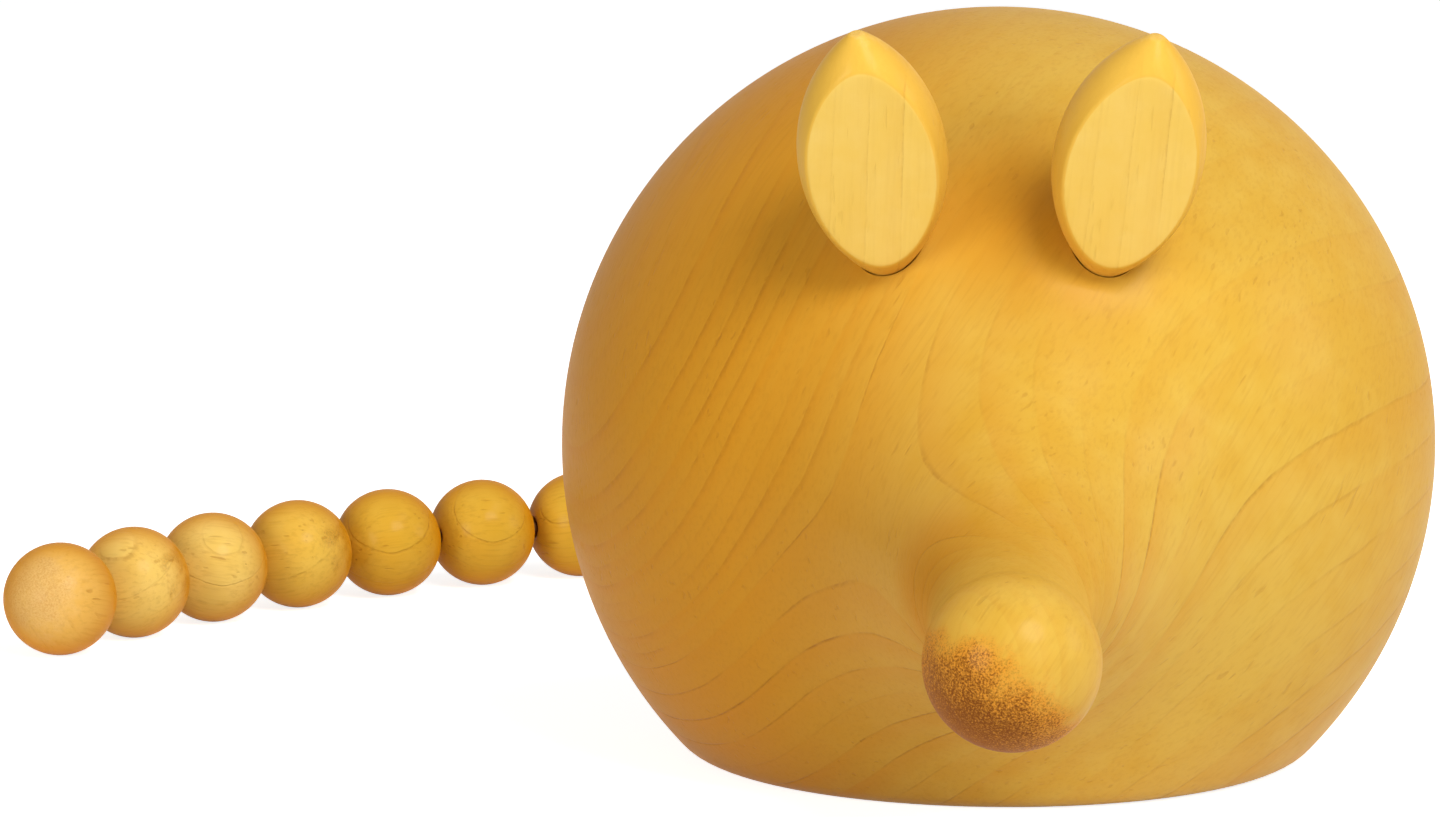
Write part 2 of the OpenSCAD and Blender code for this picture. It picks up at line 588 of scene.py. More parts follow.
def end_grain() -> bpy.types.NodeTree:
    """Builds the soaked end grain where the surface faces along the fibres.

    The mask follows the cosine between the surface's normal and the grain, frayed by noise, and only shows
    past a distance along the side's direction. Its dark specks thicken where the surface faces further along
    the fibres, which is partly painted shade where the fibres point to a shaded side.

    Returns:
        The node group.
    """
    effect = Effect(
        "end_grain",
        ["Position", "Normal", "Grain", "Side"],
        ["Cosine From", "Cosine To", "Side From"],
        ["Mask", "Speck"],
    )
    graph, given = effect.graph, effect.given
    past = graph.minus(graph.dot(given["Position"], given["Side"]), given["Side From"])
    facing = graph.dot(given["Normal"], given["Grain"])
    cloud = graph.minus(graph.noise(given["Position"], 0.32, 3.0, 0.6), 0.5)
    fray = graph.minus(graph.noise(given["Position"], 2.2, 3.0, 0.7), 0.5)
    ragged = graph.plus(graph.times(cloud, 0.9), graph.times(fray, 0.3))
    reached = graph.plus(facing, ragged)
    soaked = graph.step(reached, given["Cosine From"], given["Cosine To"])
    graph.feed(effect.result["Mask"], graph.times(soaked, graph.step(past, 0.0, 8.0)))
    # Darker specks further along the grain: partly real end grain, partly painted shade where the grain
    # points to a shaded side.
    deeper_and_shaded = graph.times(graph.minus(facing, given["Cosine To"]), 0.36)
    grains = graph.plus(graph.noise(given["Position"], 5.5, 3.0, 0.7), graph.times(cloud, 0.2))
    graph.feed(effect.result["Speck"], graph.step(graph.plus(grains, deeper_and_shaded), 0.36, 0.66))
    return effect.group


def handling() -> bpy.types.NodeTree:
    """Builds the cloudy tone of the lacquered wood, and the small scuffs that handling leaves in its gloss.

    Returns:
        The node group.
    """
    effect = Effect("handling", ["Position"], [], ["Tone", "Scuff"])
    graph, place = effect.graph, effect.given["Position"]
    broad = graph.noise(place, 0.035, 3.0)
    mottle = graph.noise(place, 0.28, 3.0, 0.6)
    tone = graph.plus(graph.times(broad, 0.65), graph.times(mottle, 0.35))
    graph.feed(effect.result["Tone"], graph.step(tone, 0.34, 0.66))
    graph.feed(effect.result["Scuff"], graph.step(graph.noise(place, 0.8, 4.0, 0.7), 0.56, 0.7))
    return effect.group


class Effects:
    """The shared effects, each built once."""

    def __init__(self) -> None:
        """Builds the node groups."""
        self.rings = growth_rings()
        self.fibre = wood_fibre()
        self.ends = end_grain()
        self.handling = handling()


@dataclass(frozen=True)
class ShadePatch:
    """A patch of painted shade that fades away from a place, and how far it reaches."""

    place: Triple
    reach: float

    @property
    def spread(self) -> float:
        """Distance at which the last of the painted shade is gone."""
        return 1.35 * self.reach


@dataclass(frozen=True)
class Grain:
    """How the wood of one piece was cut, and where shade is painted on it.

    Attributes:
        middle: Middle of the pattern.
        axis: Direction of the fibres.
        sheet: Direction across the growth rings.
        bend: Direction and strength of the rings' first curve.
        bow: Direction and strength of their second curve.
        calm: Direction in which the lines fade, in shares a millimetre.
        edge: Direction in which they end sooner, in shares a millimetre.
        width: Width of a growth ring.
        crowding: Further rings in the crowded depth.
        crowd_from: Depth where the crowding starts.
        crowd_to: Depth where it ends.
        wobble: How far the rings sway.
        shade_side: Direction towards the side with painted shade, in shares a millimetre.
        shade_patches: Patches of painted shade, as dark as the shaded side.
        planed: Direction of a planed face, when the rest of the piece takes the shaded side's colour.
        end_side: Direction in which end grain shows.
        end_start: Distance in that direction past which it shows.
    """

    middle: Triple
    axis: Triple
    sheet: Triple
    bend: Triple = (0.0, 0.0, 0.0)
    bow: Triple = (0.0, 0.0, 0.0)
    calm: Triple = (0.0, 0.0, 0.0)
    edge: Triple = (0.0, 0.0, 0.0)
    width: float = 2.6
    crowding: float = 0.0
    crowd_from: float = 100.0
    crowd_to: float = 101.0
    wobble: float = 2.4
    shade_side: Triple = (-0.01, 0.0, 0.0)
    shade_patches: tuple[ShadePatch, ...] = ()
    planed: Triple | None = None
    end_side: Triple = (0.0, 0.0, 0.0)
    end_start: float = -10.0


@dataclass(frozen=True)
class WoodFinish:
    """Satin lacquer on a fine pale wood that has turned amber, with painted shade on its shaded side, in
    patches and at its outlines.

    Attributes:
        pale: Colour of the early wood.
        warm: Colour of the cloudier patches.
        shade_side: Colour of the painted shade on the shaded side and in the shade patches, and of an ear's
            turned sides.
        line: Colour of the late wood and the pores.
        end_light: Colour of the lighter end grain.
        end_dark: Colour of the soaked end grain.
        rim: Colour of the soft bands, and of the painted shade at outlines where the surface is seen at a
            slant.
        lacquer: Tint of the lacquer's gloss.
        rim_shade_share: Strength of the painted shade at the outlines.
        line_share: Strength of the late wood's lines.
        band_share: Strength of the soft bands.
        streak_share: Strength of the fibres' streaks.
        fleck_share: Strength of the pore flecks.
        end_from: Cosine at which the end grain starts to show.
        end_to: Cosine at which it is full.
        end_share: Strength of the end grain.
        gloss_low: Roughness of the smoothest places.
        gloss_high: Roughness of the dullest places.
        gleam: Strength of the wood's own gloss.
        coat: Strength of the lacquer's gloss where it faces the eye.
        coat_rough: Roughness of the lacquer.
        relief: Depth of the bump in millimetres.
        relief_share: Strength of the bump.
    """

    pale: Colour
    warm: Colour
    shade_side: Colour
    line: Colour
    end_light: Colour
    end_dark: Colour
    rim: Colour = tint(198, 120, 10)
    lacquer: Colour = tint(255, 226, 150)
    rim_shade_share: float = 0.18
    line_share: float = 0.4
    band_share: float = 0.25
    streak_share: float = 0.1
    fleck_share: float = 0.17
    end_from: float = 0.86
    end_to: float = 1.04
    end_share: float = 0.5
    gloss_low: float = 0.4
    gloss_high: float = 0.56
    gleam: float = 0.035
    coat: float = 0.11
    coat_rough: float = 0.2
    relief: float = 0.07
    relief_share: float = 0.6

    def material(self, name: str, grain: Grain, effects: Effects) -> bpy.types.Material:
        """Builds the finish for one piece.

        Args:
            name: Name of the material.
            grain: How the piece was cut.
            effects: The shared effects.

        Returns:
            The material.
        """
        graph = Dressing(name, grain.middle, 1.0)
        place = graph.position
        rings = graph.place(
            effects.rings,
            Position=place,
            Sheet=grain.sheet,
            Bend=grain.bend,
            Bow=grain.bow,
            Calm=grain.calm,
            Edge=grain.edge,
            Width=grain.width,
            Crowding=grain.crowding,
            Crowd_From=grain.crowd_from,
            Crowd_To=grain.crowd_to,
            Wobble=grain.wobble,
        )
        fibre = graph.place(effects.fibre, Position=place, Grain=grain.axis)
        ends = graph.place(
            effects.ends,
            Position=place,
            Normal=graph.normal,
            Grain=grain.axis,
            Side=grain.end_side,
            Cosine_From=self.end_from,
            Cosine_To=self.end_to,
            Side_From=grain.end_start,
        )
        touch = graph.place(effects.handling, Position=place)

        colour = graph.blend(touch["Tone"], self.pale, self.warm)
        # Painted shade: the colour goes to the shaded side's colour along the shaded side's direction.
        dark = graph.step(graph.dot(place, grain.shade_side), -0.25, 1.0)
        # Painted shade: near each patch the colour goes to the shaded side's colour.
        for shade_patch in grain.shade_patches:
            near = graph.step(graph.distance(place, shade_patch.place), 0.0, shade_patch.spread, 1.0, 0.0)
            dark = graph.math("MAXIMUM", dark, graph.times(near, near))
        # On an ear the turned sides take the shaded side's colour and the planed face stays pale: partly
        # paler cut wood, partly painted light where the face meets the front lamp and the floor.
        if grain.planed:
            dark = graph.step(graph.dot(graph.normal, grain.planed), 0.93, 0.99, 1.0, 0.0)
        colour = graph.blend(dark, colour, self.shade_side)
        streak = graph.step(fibre["Fibre"], 0.46, 0.7, 0.0, self.streak_share)
        colour = graph.blend(streak, colour, self.line)
        colour = graph.blend(graph.times(rings["Band"], self.band_share), colour, self.rim)
        colour = graph.blend(graph.times(rings["Line"], self.line_share), colour, self.line)
        colour = graph.blend(graph.times(fibre["Fleck"], self.fleck_share), colour, self.line)
        soaked = graph.blend(ends["Speck"], self.end_light, self.end_dark)
        colour = graph.blend(graph.times(ends["Mask"], self.end_share), colour, soaked)
        # Painted shade at the outlines: where the surface is seen at a slant, the colour deepens towards the
        # rim colour.
        facing = graph.node("ShaderNodeLayerWeight").outputs["Facing"]
        colour = graph.blend(graph.step(facing, 0.1, 0.8, 0.0, self.rim_shade_share), colour, self.rim)
        graph.dress("Base Color", colour)

        dull = graph.plus(graph.times(touch["Scuff"], 0.4), graph.times(ends["Mask"], 0.5))
        dull = graph.plus(dull, graph.times(fibre["Fibre"], 0.5))
        graph.dress("Roughness", graph.step(dull, 0.0, 1.0, self.gloss_low, self.gloss_high))
        graph.dress("Specular IOR Level", self.gleam)
        graph.dress("Specular Tint", self.lacquer)
        graph.dress("Coat Weight", graph.step(facing, 0.3, 0.9, self.coat, 0.0))
        graph.dress("Coat Roughness", self.coat_rough)

        high = graph.minus(graph.times(fibre["Fibre"], 0.5), rings["Line"])
        sunk = graph.times(graph.times(ends["Mask"], ends["Speck"]), 0.6)
        high = graph.minus(high, graph.plus(sunk, graph.times(fibre["Fleck"], 0.8)))
        graph.emboss(high, self.relief, self.relief_share)
        return graph.made


BODY_FINISH = WoodFinish(
    pale=tint(212, 174, 76),
    warm=tint(206, 162, 58),
    shade_side=tint(199, 138, 34),
    line=tint(142, 80, 18),
    end_light=tint(216, 142, 42),
    end_dark=tint(110, 48, 4),
    end_from=0.1,
    end_to=0.55,
    end_share=0.92,
)

EAR_FINISH = replace(
    BODY_FINISH,
    pale=tint(236, 202, 110),
    warm=tint(231, 192, 90),
    shade_side=tint(226, 178, 70),
    line=tint(176, 116, 40),
    rim=tint(210, 150, 36),
    rim_shade_share=0.3,
    end_light=tint(246, 214, 134),
    end_dark=tint(230, 186, 100),
    end_from=0.7,
    end_to=1.04,
    end_share=0.5,
    line_share=0.22,
    band_share=0.14,
    streak_share=0.05,
    fleck_share=0.07,
)

BALL_FINISH = replace(
    BODY_FINISH,
    line=tint(164, 92, 8),
    # The balls take strong painted shade at their outlines.
    rim=tint(222, 142, 0),
    rim_shade_share=0.85,
    end_from=0.86,
    end_to=1.04,
    end_share=0.35,
    line_share=0.3,
    band_share=0.16,
    streak_share=0.16,
    fleck_share=0.3,
    relief=0.12,
)


class BallShade(Enum):
    """Shades of wood among the tail's balls."""

    PALE = replace(BALL_FINISH, pale=tint(252, 216, 124), warm=tint(246, 206, 104))
    HONEY = replace(BALL_FINISH, pale=tint(250, 208, 96), warm=tint(244, 196, 78))
    AMBER = replace(BALL_FINISH, pale=tint(240, 193, 72), warm=tint(232, 178, 54))
    RUSSET = replace(
        BALL_FINISH,
        pale=tint(240, 192, 98),
        warm=tint(232, 178, 84),
        end_light=tint(240, 196, 120),
        end_dark=tint(224, 166, 92),
        end_from=0.4,
        end_to=0.95,
        end_share=0.8,
    )


@dataclass(frozen=True)
class CordFinish:
    """Waxed brown cord.

    Attributes:
        light: Colour of the fibres on top.
        dark: Colour between them.
        fineness: How much finer its fibres are than the wood's.
        lay: Direction of the fibres.
        gloss_low: Roughness of the smoothest places.
        gloss_high: Roughness of the dullest places.
        relief: Depth of the bump in millimetres.
    """

    light: Colour = tint(126, 78, 38)
    dark: Colour = tint(74, 42, 20)
    fineness: float = 4.0
    lay: Triple = unit(1.0, 0.6, 0.5)
    gloss_low: float = 0.5
    gloss_high: float = 0.72
    relief: float = 0.04

    def material(self, name: str, effects: Effects) -> bpy.types.Material:
        """Builds the finish, with fine fibres and the marks of handling.

        Args:
            name: Name of the material.
            effects: The shared effects.

        Returns:
            The material.
        """
        graph = Dressing(name, (0.0, 0.0, 0.0), self.fineness)
        fibre = graph.place(effects.fibre, Position=graph.position, Grain=self.lay)["Fibre"]
        scuff = graph.place(effects.handling, Position=graph.position)["Scuff"]
        graph.dress("Base Color", graph.blend(fibre, self.dark, self.light))
        graph.dress("Roughness", graph.step(scuff, 0.0, 1.0, self.gloss_low, self.gloss_high))
        graph.emboss(fibre, self.relief, 1.0)
        return graph.made


# The rat


@dataclass
class Ear:
    """One ear: a turned spindle with a planed face, on a tenon.

    The spread and the splay are positive on the animal's left. The profile's corners are rounded over the
    corner's reach, and the edge is the width of the rounding where the face meets the side.
    """

    spread: float
    splay: float
    line_lean: float
    width: float = 13.4
    length: float = 26.2
    tip_width: float = 1.2
    face_offset: float = 3.3
    face_tilt: float = 1.5
    tenon_width: float = 3.4
    seat_width: float = 10.6
    sink: float = 1.5
    socket_depth: float = 8.0
    rise: float = 32.0
    lean: float = 26.0
    fit_gap: float = 0.05
    seat_gap: float = 0.12
    end_gap: float = 0.2
    corner: float = 0.12
    corner_step: float = 0.16
    edge: float = 0.11
    least_facing: float = 0.02
    crease: float = 60.0
    around: int = 232
    socket_around: int = 96

    @property
    def arc_radius(self) -> float:
        """Radius of the arc that the spindle is turned to."""
        radius, half = self.width / 2.0, self.length / 2.0
        return (half * half + radius * radius) / (2.0 * radius)

    def reach(self, radius: float) -> float:
        """Distance along the spindle from its widest place to where it has a radius."""
        return math.sqrt(self.arc_radius**2 - (self.arc_radius - self.width / 2.0 + radius) ** 2)

    def placing(self, ball: float, height: float) -> Matrix:
        """Gives the matrix from the ear's own frame, with its shoulder at the origin, to the ball.

        Args:
            ball: Radius of the ball.
            height: Height of the ball's middle.

        Returns:
            The placing matrix.
        """
        spread, rise = math.radians(self.spread), math.radians(self.rise)
        foot = (
            ball * math.sin(spread) * math.cos(rise),
            -ball * math.cos(spread) * math.cos(rise),
            height + ball * math.sin(rise),
        )
        leaned = rotation(self.lean, "X") @ rotation(self.splay, "Y")
        return Matrix.Translation(foot) @ leaned @ raised(-self.sink)

    def spindle(self, low: float, high: float, gap: float) -> Array:
        """Gives the spindle's side as radius and height, from one height above the shoulder to another.

        The radius at height z is w - R + sqrt((R + gap)^2 - (z - f)^2), where R is the arc's radius, w the
        widest radius and f the height of the widest place.

        Args:
            low: First height.
            high: Last height.
            gap: Width added all round.

        Returns:
            Points of shape (n, 2).
        """
        heights = np.linspace(low, high, 160)
        middle = self.reach(self.tenon_width / 2.0)
        swell = np.sqrt((self.arc_radius + gap) ** 2 - (heights - middle) ** 2)
        return np.stack([self.width / 2.0 - self.arc_radius + swell, heights], axis=1)

    def socket(self) -> Skin:
        """Gives the cutter for the ear's socket: the tenon's hole and a rim that follows the spindle.

        Returns:
            Points and faces in the ear's own frame.
        """
        hole = self.tenon_width / 2.0 + self.fit_gap
        rim = self.reach(self.tenon_width / 2.0) - self.reach(self.seat_width / 2.0)
        side = self.spindle(0.0, rim, self.seat_gap)
        ends = [(0.0, -self.socket_depth), (hole, -self.socket_depth)]
        line = np.concatenate([ends, side, [(0.0, rim)]])
        return lathed(line, self.socket_around)

    def skin(self) -> Skin:
        """Gives the ear's surface.

        The turned profile's radius r and the face's distance along the same ray, d / cos a, are joined by a
        soft minimum, -k log(exp(-r / k) + exp(-d / (k cos a))), so that the face meets the side in a narrow
        rounded edge. The face tilts towards the tip, so d falls with the height.

        Returns:
            Points and faces in the ear's own frame.
        """
        tenon = self.tenon_width / 2.0
        top = self.reach(tenon) + self.reach(self.tip_width / 2.0)
        bottom = self.end_gap - self.socket_depth
        ends = [(0.0, bottom), (tenon, bottom)]
        line = np.concatenate([ends, self.spindle(0.0, top, 0.0), [(0.0, top)]])
        line = softened(line, self.corner, self.corner_step)
        facing = np.maximum(-np.sin(circle(self.around)), self.least_facing)[None, :]
        above = line[:, 1:] - self.reach(tenon)
        planed = (self.face_offset - above * math.tan(math.radians(self.face_tilt))) / facing
        radii = -self.edge * np.logaddexp(-line[:, :1] / self.edge, -planed / self.edge)
        return skinned(turned(np.maximum(radii, 0.0), line[:, 1], self.around))

    def grain(self, place: Matrix) -> Grain:
        """Gives the ear's grain: fibres along its length and rings that cross the planed face.

        Args:
            place: The ear's placing matrix.

        Returns:
            The grain.
        """
        turn = place.to_3x3()
        lean = rotation(self.line_lean, "Y").to_3x3()
        axis, sheet = turn @ lean.col[2], turn @ lean.col[0]
        middle = place @ Vector((0.0, 0.0, self.length / 2.0))
        tilt = rotation(-self.face_tilt, "X").to_3x3()
        planed = turn @ tilt @ Vector((0.0, -1.0, 0.0))
        return Grain(
            middle=tuple(middle),
            axis=tuple(axis),
            sheet=tuple(sheet),
            width=3.1,
            wobble=1.6,
            planed=tuple(planed),
        )

    def build(self, side: str, place: Matrix, effects: Effects) -> None:
        """Makes and dresses the ear.

        Args:
            side: Side of the animal.
            place: The ear's placing matrix.
            effects: The shared effects.
        """
        made = piece(f"ear_turning_{side}", moved(self.skin(), place), self.crease)
        finish = EAR_FINISH.material(f"ear_wood_{side}", self.grain(place), effects)
        stands_for(made, f"ear_{side}", "figure", finish)


@dataclass
class Body:
    """The turned ball with its flat base, concave flare, neck and nose.

    The mouth's sizes are those of the opened end of the cord's hole, and the steps are the distances between
    the rings of the mesh.
    """

    ball_width: float = 84.0
    ball_height: float = 30.0
    base_round: float = 4.5
    snout_length: float = 38.0
    snout_tilt: float = 4.9
    nose_width: float = 15.0
    neck_width: float = 13.8
    neck_length: float = 10.5
    cord_hole: float = 2.1
    tail_height: float = 6.0
    tail_depth: float = 16.0
    mouth_depth: float = 1.0
    mouth_flare: float = 0.9
    mouth_clear: float = 1.2
    corner: float = 0.45
    corner_step: float = 0.2
    ball_step: float = 0.66
    snout_step: float = 0.42
    crease: float = 32.0
    around: int = 296
    bore_around: int = 48

    def profile(self) -> Array:
        """Gives the lathe's profile from the back of the ball to the tip of the nose.

        The ball's arc runs on into one concave arc that meets the neck square on, and the neck into the
        nose's arc. The ball takes wider steps than the rest.

        Returns:
            Radius and distance of each point, of shape (n, 2).
        """
        ball, neck, nose = self.ball_width / 2.0, self.neck_width / 2.0, self.nose_width / 2.0
        nose_at = ball + self.snout_length
        neck_at = nose_at - self.neck_length
        flare = (neck_at**2 + neck**2 - ball**2) / (2.0 * (ball - neck))
        leave = math.degrees(math.atan2(neck + flare, neck_at))
        crown = math.degrees(math.asin(neck / nose))
        back = arc((0.0, 0.0), ball, -90.0, 90.0 - leave, count=400)
        cove = arc((neck + flare, neck_at), flare, 270.0 - leave, 180.0, count=200)
        front = arc((0.0, nose_at), nose, 90.0 - (180.0 - crown), 90.0, count=120)
        line = softened(np.concatenate([back, cove[1:], front]), self.corner, self.corner_step)
        split = int(np.argmax(line[:, 1] > ball * math.cos(math.radians(leave))))
        rear = resampled(line[: split + 1], self.ball_step)
        return np.concatenate([rear[:-1], resampled(line[split:], self.snout_step)])

    def flattened(self, points: Array) -> Array:
        """Presses the lower cap of the ball to its flat base.

        The angle from straight down, up to where the base's round touches the ball, is spread evenly over
        the flat disc and the round's arc beyond it.

        Args:
            points: Points round the ball, in place.

        Returns:
            The points with the base formed.
        """
        ball, rounding = self.ball_width / 2.0, self.base_round
        rim = math.sqrt((ball - rounding) ** 2 - (self.ball_height - rounding) ** 2)
        limit = math.atan2(rim, self.ball_height - rounding)
        away = points - np.array([0.0, 0.0, self.ball_height])
        flat = np.hypot(away[:, 0], away[:, 1])
        angle = np.arctan2(flat, -away[:, 2])
        along = np.minimum(angle / limit, 1.0) * (rim + rounding * limit)
        bend = np.maximum(along - rim, 0.0) / rounding
        distance = np.minimum(along, rim) + rounding * np.sin(bend)
        share = distance / np.maximum(flat, 1e-9)
        level = rounding * (1.0 - np.cos(bend))
        formed = np.stack([away[:, 0] * share, away[:, 1] * share, level], axis=1)
        return np.where((angle < limit)[:, None], formed, points)

    def skin(self) -> Skin:
        """Gives the body's surface, turned about the dipping axis and flattened underneath.

        Returns:
            Points and faces in place.
        """
        place = raised(self.ball_height) @ rotation(90.0 + self.snout_tilt, "X")
        points, faces = moved(lathed(self.profile(), self.around), place)
        return self.flattened(points), faces

    def cord_cutter(self) -> Skin:
        """Gives the cutter for the cord's hole: a straight bore with a softly opened mouth.

        Returns:
            Points and faces in place.
        """
        ball, bore = self.ball_width / 2.0, self.cord_hole / 2.0
        mouth = math.sqrt(ball**2 - (self.ball_height - self.tail_height) ** 2)
        start, end = mouth - self.tail_depth, mouth + self.mouth_clear
        wall = [(bore, start), (bore, mouth - self.mouth_depth), (bore + self.mouth_flare, end)]
        line = np.array([(0.0, start), *wall, (0.0, end)])
        place = raised(self.tail_height) @ rotation(-90.0, "X")
        return moved(lathed(line, self.bore_around), place)

    def ear_place(self, ear: Ear) -> Matrix:
        """Gives an ear's placing matrix on the ball."""
        return ear.placing(self.ball_width / 2.0, self.ball_height)

    def build(self, ears: dict[str, Ear], effects: Effects) -> None:
        """Makes the body, cuts its sockets and the cord's hole, and dresses it.

        Args:
            ears: The ears by side.
            effects: The shared effects.
        """
        made = piece("body_turning", self.skin())
        cutters = [piece("cord_cutter", self.cord_cutter())]
        for side, ear in ears.items():
            cutters.append(piece(f"{side}_cutter", moved(ear.socket(), self.ear_place(ear))))
        for cutter in cutters:
            cut = made.modifiers.new(cutter.name, "BOOLEAN")
            cut.operation = "DIFFERENCE"
            cut.solver = "EXACT"
            cut.object = cutter
        graph = bpy.context.evaluated_depsgraph_get()
        mesh = bpy.data.meshes.new_from_object(made.evaluated_get(graph))
        made.modifiers.clear()
        made.data = mesh
        mesh.name = made.name
        mesh.shade_smooth()
        mesh.set_sharp_from_angle(angle=math.radians(self.crease))
        mesh.materials.clear()
        for cutter in cutters:
            bpy.data.meshes.remove(cutter.data)
        finish = BODY_FINISH.material("body_wood", self.grain(), effects)
        stands_for(made, "body", "figure", finish)

    def grain(self) -> Grain:
        """Gives the body's grain: bent rings that crowd together on the animal's right, with painted shade
        on that side, beside the ears, beside the neck and under the nose.
        """
        return Grain(
            middle=(0.0, 0.0, self.ball_height),
            # The fibres point down to the nose's lower left, so the end grain's darkest specks also paint
            # shade on that side.
            axis=unit(-0.52, -0.42, -0.74),
            sheet=(-0.600, -0.253, 0.759),
            bend=(-0.579, 1.561, 2.317),
            bow=(-3.527, -0.717, -0.398),
            calm=(0.012, -0.018, 0.035),
            edge=(-0.0253, 0.0, 0.0),
            width=3.5,
            crowding=7.5,
            crowd_from=31.0,
            crowd_to=58.0,
            wobble=1.0,
            # Painted shade: darker towards the animal's right, the side away from the key lamp.
            shade_side=(-0.04, 0.0, 0.004),
            # Patches of painted shade where shade falls: beside the right ear, between the ears, beside the
            # neck and under the nose.
            shade_patches=(
                ShadePatch((-17.0, -33.0, 20.0), 19.0),
                ShadePatch((1.0, -32.0, 25.0), 20.0),
                ShadePatch((-9.0, -62.0, -4.0), 19.0),
                ShadePatch((-6.0, -80.0, -16.0), 20.0),
            ),
            end_side=(0.0, -1.0, -0.09),
            end_start=72.0,
        )


@dataclass(frozen=True)
class BallCut:
    """Shade of one tail ball, and the direction of its fibres."""

    shade: BallShade
    axis: Triple


@dataclass
class Tail:
    """Drilled balls on a cord, from the body to the tip.

    The turns are the angles from one stretch to the next, in degrees. A strand goes once round the cord in
    the length of the lay, the twist turns the strands from ball to ball, and the furrows between them are
    shares of the cord's radius.
    """

    cuts: list[BallCut]
    turns: tuple[float, ...] = (-15, 0, 14, 20, 20, 20, 20, 20, 18, 6, 6, 6, 6, 6, 4)
    ball_width: float = 12.0
    cord_width: float = 2.0
    bend_limit: float = 28.0
    standoff: float = 2.4
    socket_depth: float = 16.0
    end_depth: float = 9.0
    fit_gap: float = 0.05
    end_gap: float = 0.2
    bend_gap: float = 0.1
    cord_exit: float = 34.467
    mouth_flare: float = 0.25
    mouth_depth: float = 0.5
    corner: float = 0.12
    corner_step: float = 0.15
    unevenness: float = 0.002
    strands: int = 3
    lay: float = 5.2
    twist: float = 0.9
    furrow: float = 0.16
    bend_furrow: float = 0.14
    cord_round: float = 0.25
    cord_step: float = 0.14
    cord_around: int = 48
    around: int = 96
    bends: Array = field(init=False)
    headings: Array = field(init=False)

    def __post_init__(self) -> None:
        """Works out where the cord bends and which way it heads through each ball."""
        self.headings = np.radians(90.0 + np.cumsum(self.turns))
        level = np.zeros(len(self.turns))
        steps = np.stack([np.cos(self.headings), np.sin(self.headings), level], axis=1)
        walked = np.concatenate([np.zeros((1, 3)), np.cumsum(steps[:-1], axis=0)])
        start = np.array([0.0, self.cord_exit + self.standoff, self.ball_width / 2.0])
        self.bends = start + 2.0 * self.half_pitch * walked

    @property
    def half_pitch(self) -> float:
        """Distance from a ball's middle to the bend before or after it."""
        half = (self.ball_width + self.bend_gap) / 2.0
        return half / math.cos(math.radians(self.bend_limit / 2.0))

    def placing(self, k: int) -> Matrix:
        """Gives the matrix from an upright frame with a bend at its origin to the stretch after bend k."""
        heading = Matrix.Rotation(self.headings[k], 4, "Z") @ rotation(90.0, "Y")
        return Matrix.Translation(self.bends[k]) @ heading

    def ball(self, k: int) -> Skin:
        """Gives the surface of ball k, with its bore and softened mouths.

        The profile is the ball's arc and the bore's wall, with rounded corners. It is turned about the cord,
        and drawn in by two waves round it, up to 0.04 mm, where the tool left the ball a little out of
        round. The last ball's bore is blind.

        Args:
            k: Number of the ball from the body.

        Returns:
            Points and faces in place.
        """
        radius, middle = self.ball_width / 2.0, self.half_pitch
        bore = self.cord_width / 2.0 + self.fit_gap
        low, high = middle - radius, middle + radius
        mouth = math.degrees(math.asin((bore + self.mouth_flare) / radius))
        last = k == len(self.turns) - 1
        if last:
            side = arc((0.0, middle), radius, mouth - 90.0, 90.0, count=160)
            floor = low + self.end_depth
            wall = [(0.0, floor), (bore, floor), (bore, low + self.mouth_depth)]
            line = np.concatenate([wall, side])
        else:
            side = arc((0.0, middle), radius, mouth - 90.0, 90.0 - mouth, count=160)
            wall = [(bore, high - self.mouth_depth), (bore, low + self.mouth_depth)]
            line = np.concatenate([side, wall])
        line = softened(line, self.corner, self.corner_step, closed=not last)
        angles = circle(self.around)
        phase = 1.7 * k
        wave = np.cos(2.0 * angles + phase) + 0.6 * np.cos(3.0 * angles - 2.0 * phase)
        outside = np.clip((line[:, :1] - bore - 1.0) / radius, 0.0, 1.0)
        drawn = 1.0 - self.unevenness * (1.6 + wave) * outside
        grid = turned(line[:, :1] * drawn, line[:, 1], self.around)
        return moved(skinned(grid, closed=not last), self.placing(k))

    def lobes(self, heights: Array, start: float, furrow: float) -> Array:
        """Gives the share of the cord's radius that the furrows between its strands leave.

        At angle a and height z it is 1 - furrow + furrow |cos(n (a - 2 pi z / lay - start) / 2)|, for n
        strands.

        Args:
            heights: Height of each ring.
            start: Angle at which the strands start.
            furrow: Depth of the furrows, as a share of the radius.

        Returns:
            Shares of shape (rings, around).
        """
        turn = circle(self.cord_around)[None, :] - 2.0 * math.pi * heights[:, None] / self.lay - start
        return 1.0 - furrow + furrow * np.abs(np.cos(0.5 * self.strands * turn))

    def strand(self, length: float, start: float) -> Skin:
        """Gives a straight stretch of twisted cord from the origin upwards.

        The radius falls in the furrows between the strands, and the ends are rounded by a quarter circle.

        Args:
            length: Length of the stretch.
            start: Angle at which the strands start.

        Returns:
            Points and faces in the stretch's own frame.
        """
        heights = np.linspace(0.0, length, max(12, round(length / self.cord_step)))
        edge = np.minimum(heights, length - heights)
        capped = np.sqrt(np.clip(1.0 - (1.0 - edge / self.cord_round) ** 2, 0.0, 1.0))
        capped = np.where(edge < self.cord_round, capped, 1.0)
        radii = self.cord_width / 2.0 * self.lobes(heights, start, self.furrow) * capped[:, None]
        return skinned(turned(radii, heights, self.cord_around))

    def bend(self, k: int) -> Skin:
        """Gives the short round of cord that flexes at bend k.

        It is a ball of the cord's width, with the strands' furrows running over it.

        Args:
            k: Number of the bend from the body.

        Returns:
            Points and faces in place.
        """
        line = arc((0.0, 0.0), self.cord_width / 2.0, -90.0, 90.0, count=40)
        radii = np.maximum(line[:, :1], 0.0) * self.lobes(line[:, 1], 0.0, self.bend_furrow)
        return moved(skinned(turned(radii, line[:, 1], self.cord_around)), self.placing(k))

